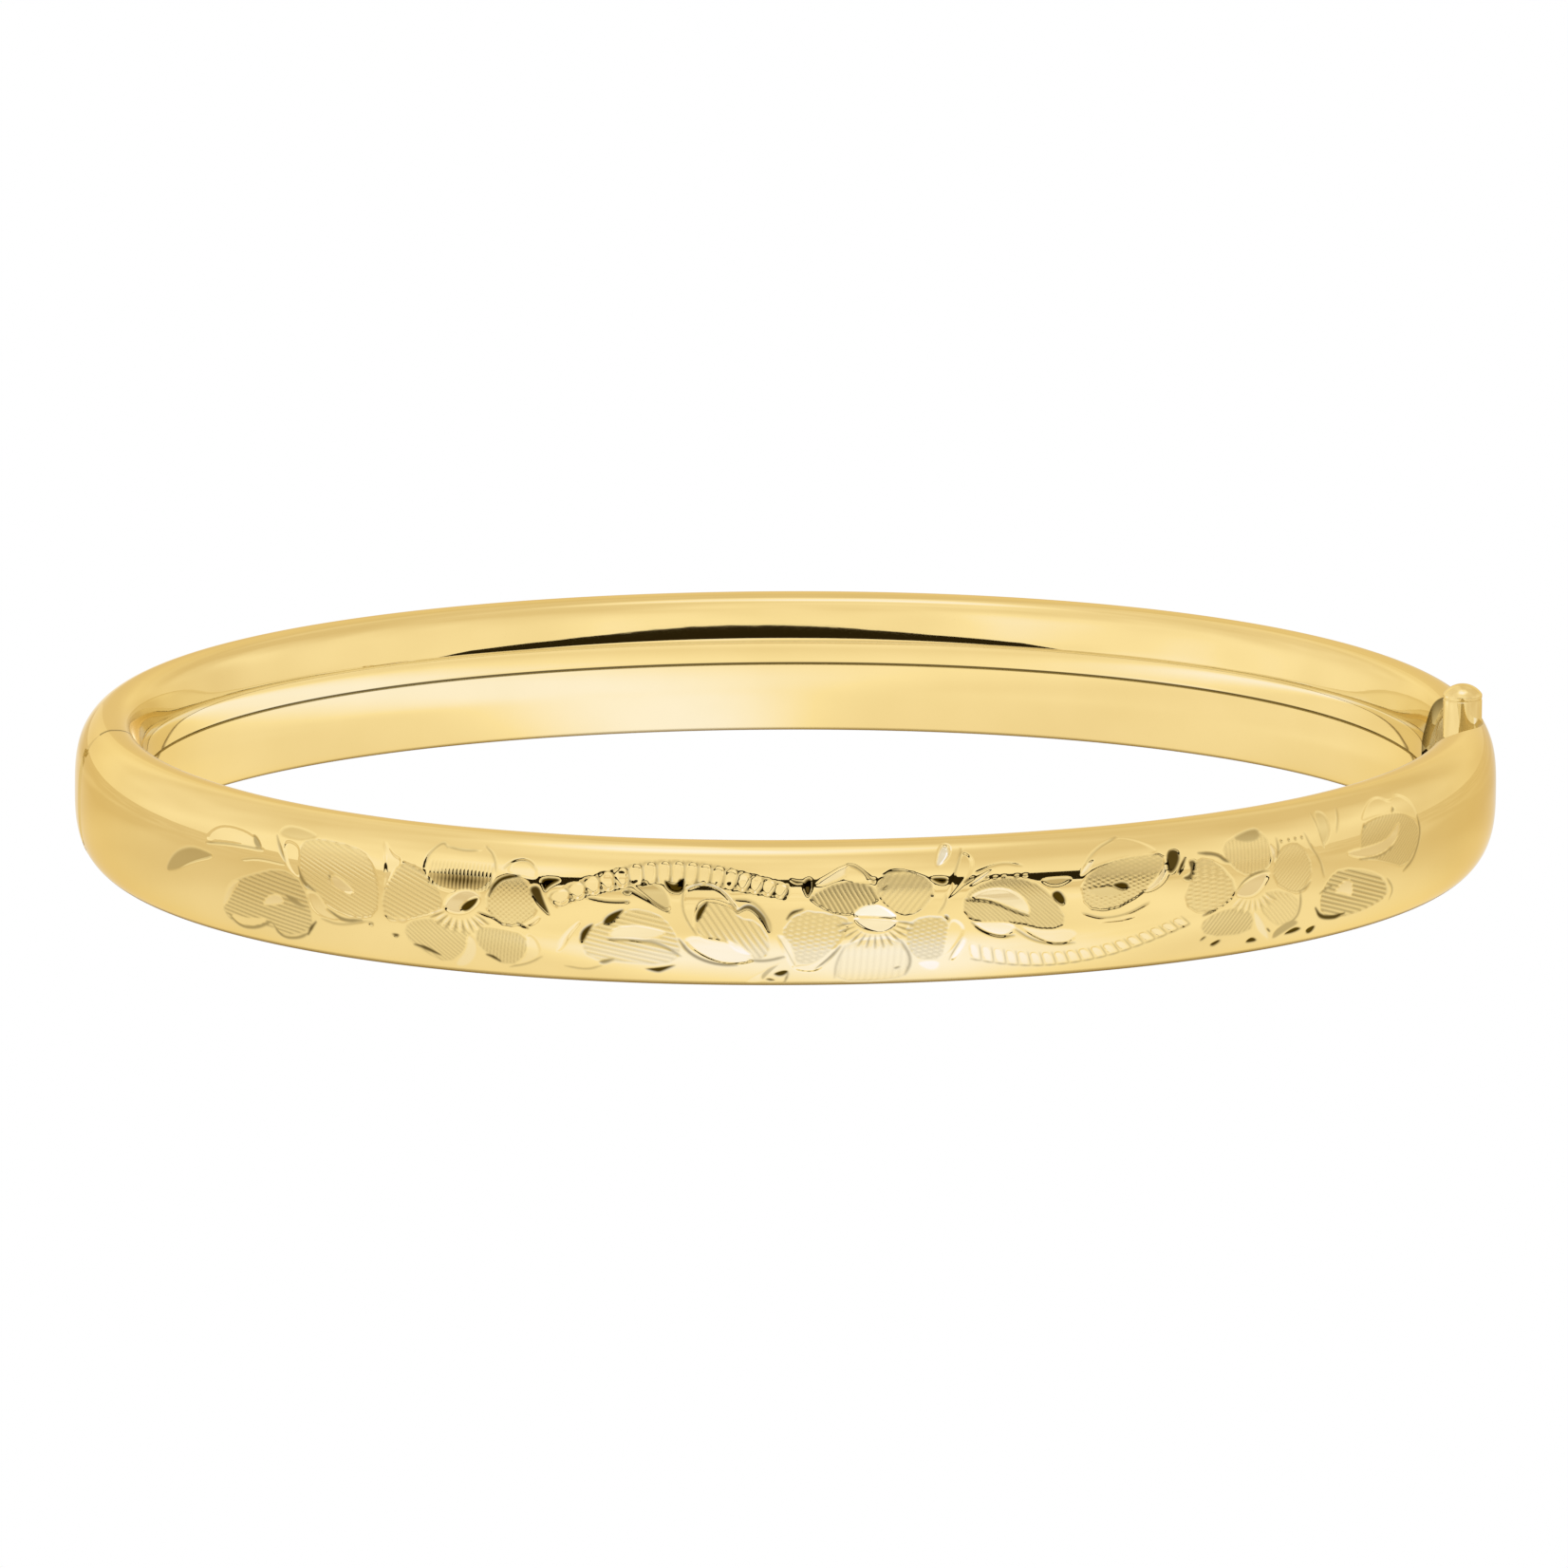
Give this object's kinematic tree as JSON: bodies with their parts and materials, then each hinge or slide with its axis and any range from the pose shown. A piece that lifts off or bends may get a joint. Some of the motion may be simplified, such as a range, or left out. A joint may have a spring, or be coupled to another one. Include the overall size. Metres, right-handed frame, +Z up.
{
  "type": "hinged bangle bracelet",
  "caption": "Oval hollow bangle in two hinged half bands, with an engraved front, a plain back and a snap clasp worked by a thumb button.",
  "frame": {"origin": "middle of the oval in plan, at the level of the lower rim", "axes": "+X along the oval's long axis from the hinge to the clasp, +Y from the engraved front half to the plain back half, +Z up along the wrist opening"},
  "size_m": [0.0648, 0.057, 0.0074],
  "materials": {
    "polished_gold": "mirror-polished yellow gold",
    "engraved_gold": "polished yellow gold with bright-cut hand engraving",
    "satin_gold": "filed and lightly polished yellow gold",
    "spring_gold": "hard-rolled yellow gold, brushed",
    "pin_gold": "drawn gold wire, riveted ends",
    "button_gold": "polished yellow gold"
  },
  "bodies": {
    "back_half": {"back_tube": "polished_gold", "back_hinge_cap": "satin_gold", "upper_knuckle": "satin_gold", "lower_knuckle": "satin_gold", "hinge_pin": "pin_gold", "back_end_plate": "satin_gold", "tongue_blade": "spring_gold"},
    "front_half": {"front_tube": "engraved_gold", "front_hinge_cap": "satin_gold", "middle_knuckle": "satin_gold", "mouth_plate": "satin_gold", "guide_shelf": "satin_gold", "bulkhead": "satin_gold"},
    "catch": {"spring_leaf": "spring_gold", "button_stem": "spring_gold", "button_barrel": "button_gold", "button_cap": "button_gold"}
  },
  "joints": [
    {"name": "bangle_hinge", "type": "hinge", "parent": "back_half", "child": "front_half", "pos_m": [-0.03145, 0, 0.00325], "axis": [0, 0, -1], "range_deg": [0, 50]},
    {"name": "thumb_press", "type": "hinge", "parent": "back_half", "child": "catch", "pos_m": [0.03085, -0.0046, 0.00242], "axis": [-1, 0, 0], "range_deg": [0, 7.5], "stiffness_Nm_per_rad": 0.1, "springref_deg": -2.86}
  ]
}
